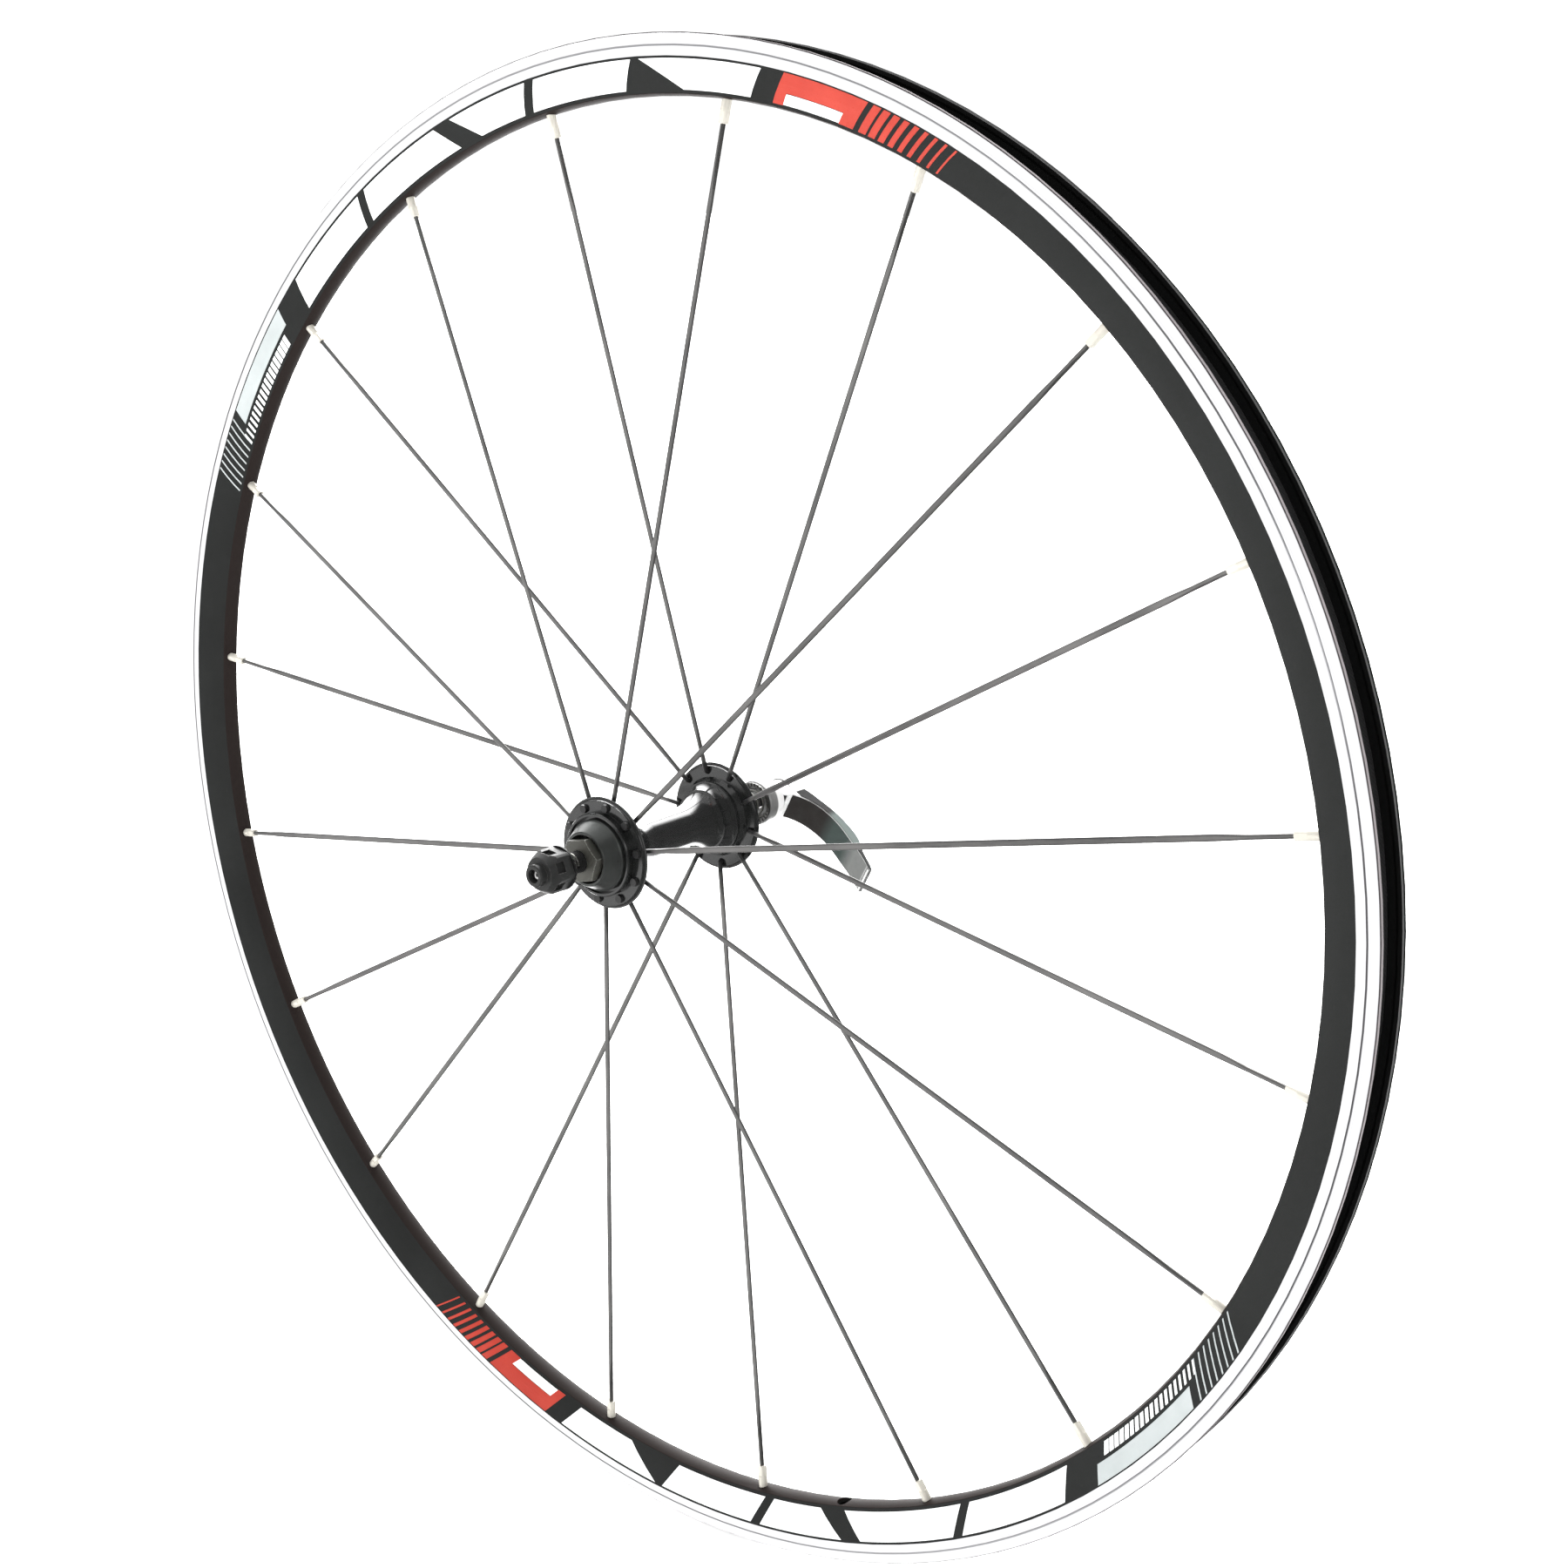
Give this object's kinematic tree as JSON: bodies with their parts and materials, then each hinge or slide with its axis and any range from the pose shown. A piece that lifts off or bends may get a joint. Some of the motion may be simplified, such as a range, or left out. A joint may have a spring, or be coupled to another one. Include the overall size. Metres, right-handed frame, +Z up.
{
  "type": "bicycle front wheel",
  "caption": "Road bicycle front wheel without a tyre: low black rim with machined brake tracks, bladed radial spokes, small black hub and a quick-release skewer with cam lever and nut.",
  "frame": {"origin": "centre of the wheel, on the spin axis and midway between the two sides of the rim", "axes": "+Y along the spin axis, from the skewer's nut to its lever; +Z up as pictured; +X to the right when seen from the nut side"},
  "size_m": [0.6339, 0.1632, 0.634],
  "materials": {
    "rim_black": "satin black anodised sidewalls and spoke bed, with bright machined brake tracks and raw tyre well",
    "raw_aluminium": "mill finish",
    "tape": "woven tape",
    "nipple_metal": "nickel plated",
    "spoke_steel": "drawn stainless wire",
    "hub_black": "polished black anodised",
    "bearing_steel": "ground",
    "seal_rubber": "matte",
    "dust_cap_grey": "dark grey anodised",
    "black_steel": "black oxide",
    "rod_steel": "turned",
    "spring_steel": "drawn",
    "clamp_steel": "turned, with radial teeth",
    "nut_black": "black anodised",
    "polished_aluminium": "polished"
  },
  "bodies": {
    "axle": {"hollow_axle": "black_steel", "bearing_cone_nut_side": "bearing_steel", "bearing_cone_lever_side": "bearing_steel", "lock_washer_nut_side": "black_steel", "lock_washer_lever_side": "black_steel", "locknut_nut_side": "black_steel", "locknut_lever_side": "black_steel"},
    "wheel": {"rim": "rim_black", "rim_joint_sleeve": "raw_aluminium", "rim_tape": "tape", "nipples": "nipple_metal", "spokes_nut_side": "spoke_steel", "spokes_lever_side": "spoke_steel", "hub_shell": "hub_black", "bearing_cup_nut_side": "bearing_steel", "bearing_cup_lever_side": "bearing_steel", "dust_cap_nut_side": "dust_cap_grey", "dust_cap_lever_side": "dust_cap_grey", "bearing_seal_nut_side": "seal_rubber", "bearing_seal_lever_side": "seal_rubber"},
    "nut_side_balls": {"bearing_balls_nut_side": "bearing_steel", "ball_cage_nut_side": "bearing_steel"},
    "lever_side_balls": {"bearing_balls_lever_side": "bearing_steel", "ball_cage_lever_side": "bearing_steel"},
    "skewer": {"skewer_rod": "rod_steel", "lever_barrel_pin": "rod_steel", "conical_spring_nut_side": "spring_steel", "conical_spring_lever_side": "spring_steel"},
    "lever": {"qr_lever": "polished_aluminium"},
    "cradle": {"cam_cradle": "polished_aluminium", "clamp_face_ring_lever_side": "clamp_steel"},
    "nut_ring": {"clamp_face_ring_nut_side": "clamp_steel"},
    "nut": {"nut_cap": "nut_black", "nut_thread_insert": "rod_steel"}
  },
  "joints": [
    {"name": "wheel_spin", "type": "hinge", "parent": "axle", "child": "wheel", "pos_m": [0, 0, 0], "axis": [0, 1, 0], "continuous": true},
    {"name": "nut_side_balls_spin", "type": "hinge", "parent": "axle", "child": "nut_side_balls", "pos_m": [0, -0.0342, 0], "axis": [0, 1, 0], "continuous": true},
    {"name": "lever_side_balls_spin", "type": "hinge", "parent": "axle", "child": "lever_side_balls", "pos_m": [0, 0.0342, 0], "axis": [0, 1, 0], "continuous": true},
    {"name": "skewer_turn", "type": "hinge", "parent": "axle", "child": "skewer", "pos_m": [0, 0, 0], "axis": [0, 1, 0], "continuous": true},
    {"name": "lever_swing", "type": "hinge", "parent": "skewer", "child": "lever", "pos_m": [0, 0.076, 0], "axis": [0.4384, 0, 0.8988], "range_deg": [0, 150]},
    {"name": "cradle_slide", "type": "slide", "parent": "skewer", "child": "cradle", "axis": [0, 1, 0], "range_m": [0, 0.00094], "deforming": ["conical_spring_lever_side"]},
    {"name": "nut_turn", "type": "hinge", "parent": "nut_ring", "child": "nut", "pos_m": [0, -0.068, 0], "axis": [0, 1, 0], "range_deg": [-2520, 2160]},
    {"name": "nut_travel", "type": "slide", "parent": "skewer", "child": "nut_ring", "axis": [0, 1, 0], "range_m": [-0.0056, 0.0048], "deforming": ["conical_spring_nut_side"]}
  ],
  "couplings": [
    {"joint": "nut_side_balls_spin", "follows": "wheel_spin", "ratio": 0.6},
    {"joint": "lever_side_balls_spin", "follows": "wheel_spin", "ratio": 0.6},
    {"joint": "cradle_slide", "follows": "lever_swing", "m_per_rad": 0.000355},
    {"joint": "nut_travel", "follows": "nut_turn", "m_per_rad": 0.00012732}
  ]
}
